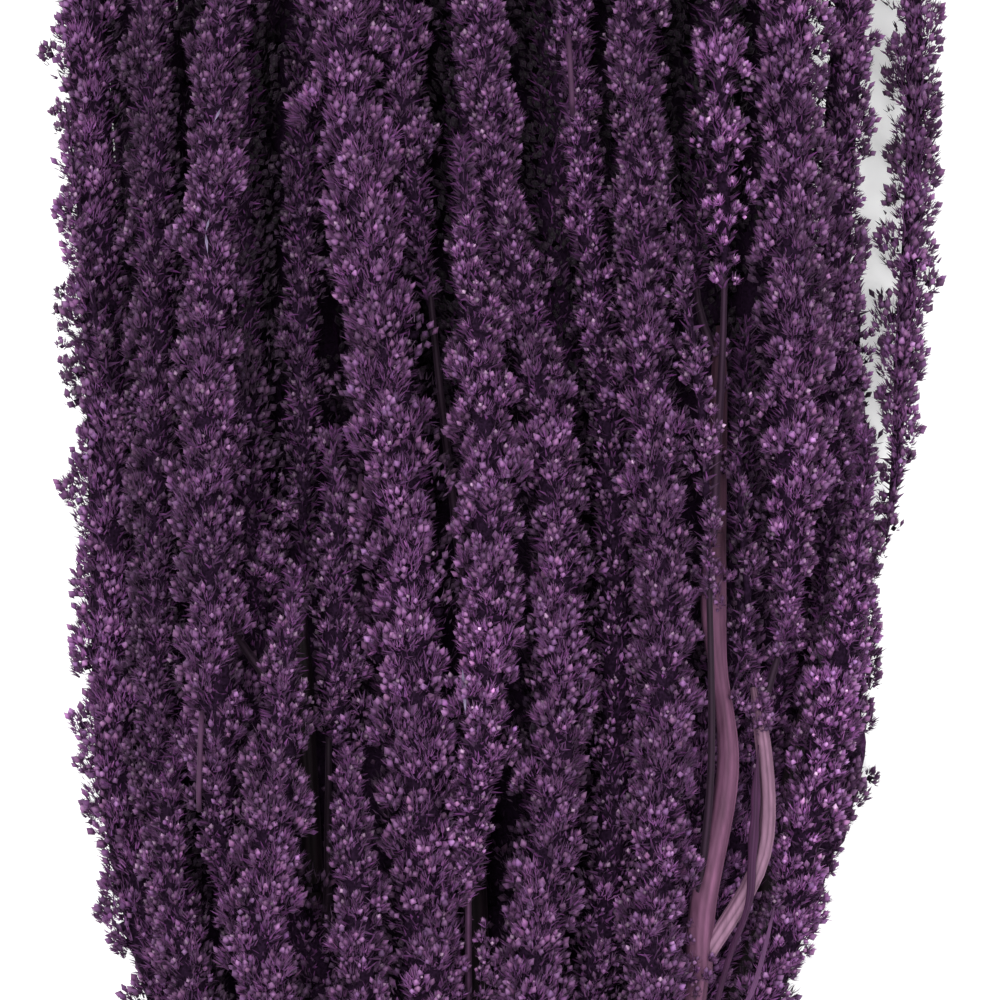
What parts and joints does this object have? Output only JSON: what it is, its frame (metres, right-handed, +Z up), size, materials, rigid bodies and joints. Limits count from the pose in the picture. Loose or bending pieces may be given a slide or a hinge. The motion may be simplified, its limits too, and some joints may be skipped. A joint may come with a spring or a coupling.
{
  "type": "amaranth seed head",
  "caption": "Dried amaranth seed head with its cut stalk, its long tassels of small flowers lying side by side, at rest on its side.",
  "frame": {"origin": "on the surface the head lies on, under the middle of its bounding box", "axes": "+Y along the head, from the cut end of the stalk to the tips of the tassels; +Z up, off the surface; +X to the right as seen from above with the tips away"},
  "size_m": [0.143, 0.4086, 0.0464],
  "materials": {
    "tassels": "dried, dyed plum purple, matt and bristly",
    "stalk": "dried, ribbed, mauve pink with a faint sheen",
    "leaves": "dried and curled, dark purple"
  },
  "bodies": {
    "root": {"beaded": "tassels", "centre_column": "tassels", "centre_spear": "tassels", "fork_spear": "tassels", "inner_1": "tassels", "inner_2": "tassels", "inner_3": "tassels", "inner_4": "tassels", "inner_5": "tassels", "inner_6": "tassels", "inner_7": "tassels", "inner_column": "tassels", "inner_top": "tassels", "left_bright": "tassels", "left_column": "tassels", "left_dark": "tassels", "left_edge": "tassels", "left_low": "tassels", "left_outer": "tassels", "left_spear": "tassels", "left_sprig": "tassels", "low_spear": "tassels", "lower_1": "tassels", "lower_10": "tassels", "lower_2": "tassels", "lower_3": "tassels", "lower_4": "tassels", "lower_5": "tassels", "lower_6": "tassels", "lower_7": "tassels", "lower_8": "tassels", "lower_9": "tassels", "right_back": "tassels", "right_bright": "tassels", "right_column": "tassels", "right_edge": "tassels", "right_inner": "tassels", "right_low": "tassels", "right_spear": "tassels", "right_sprig": "tassels", "right_wide": "tassels", "stalk": "stalk", "curled_leaf": "leaves", "straight_leaf": "leaves"}
  },
  "joints": []
}
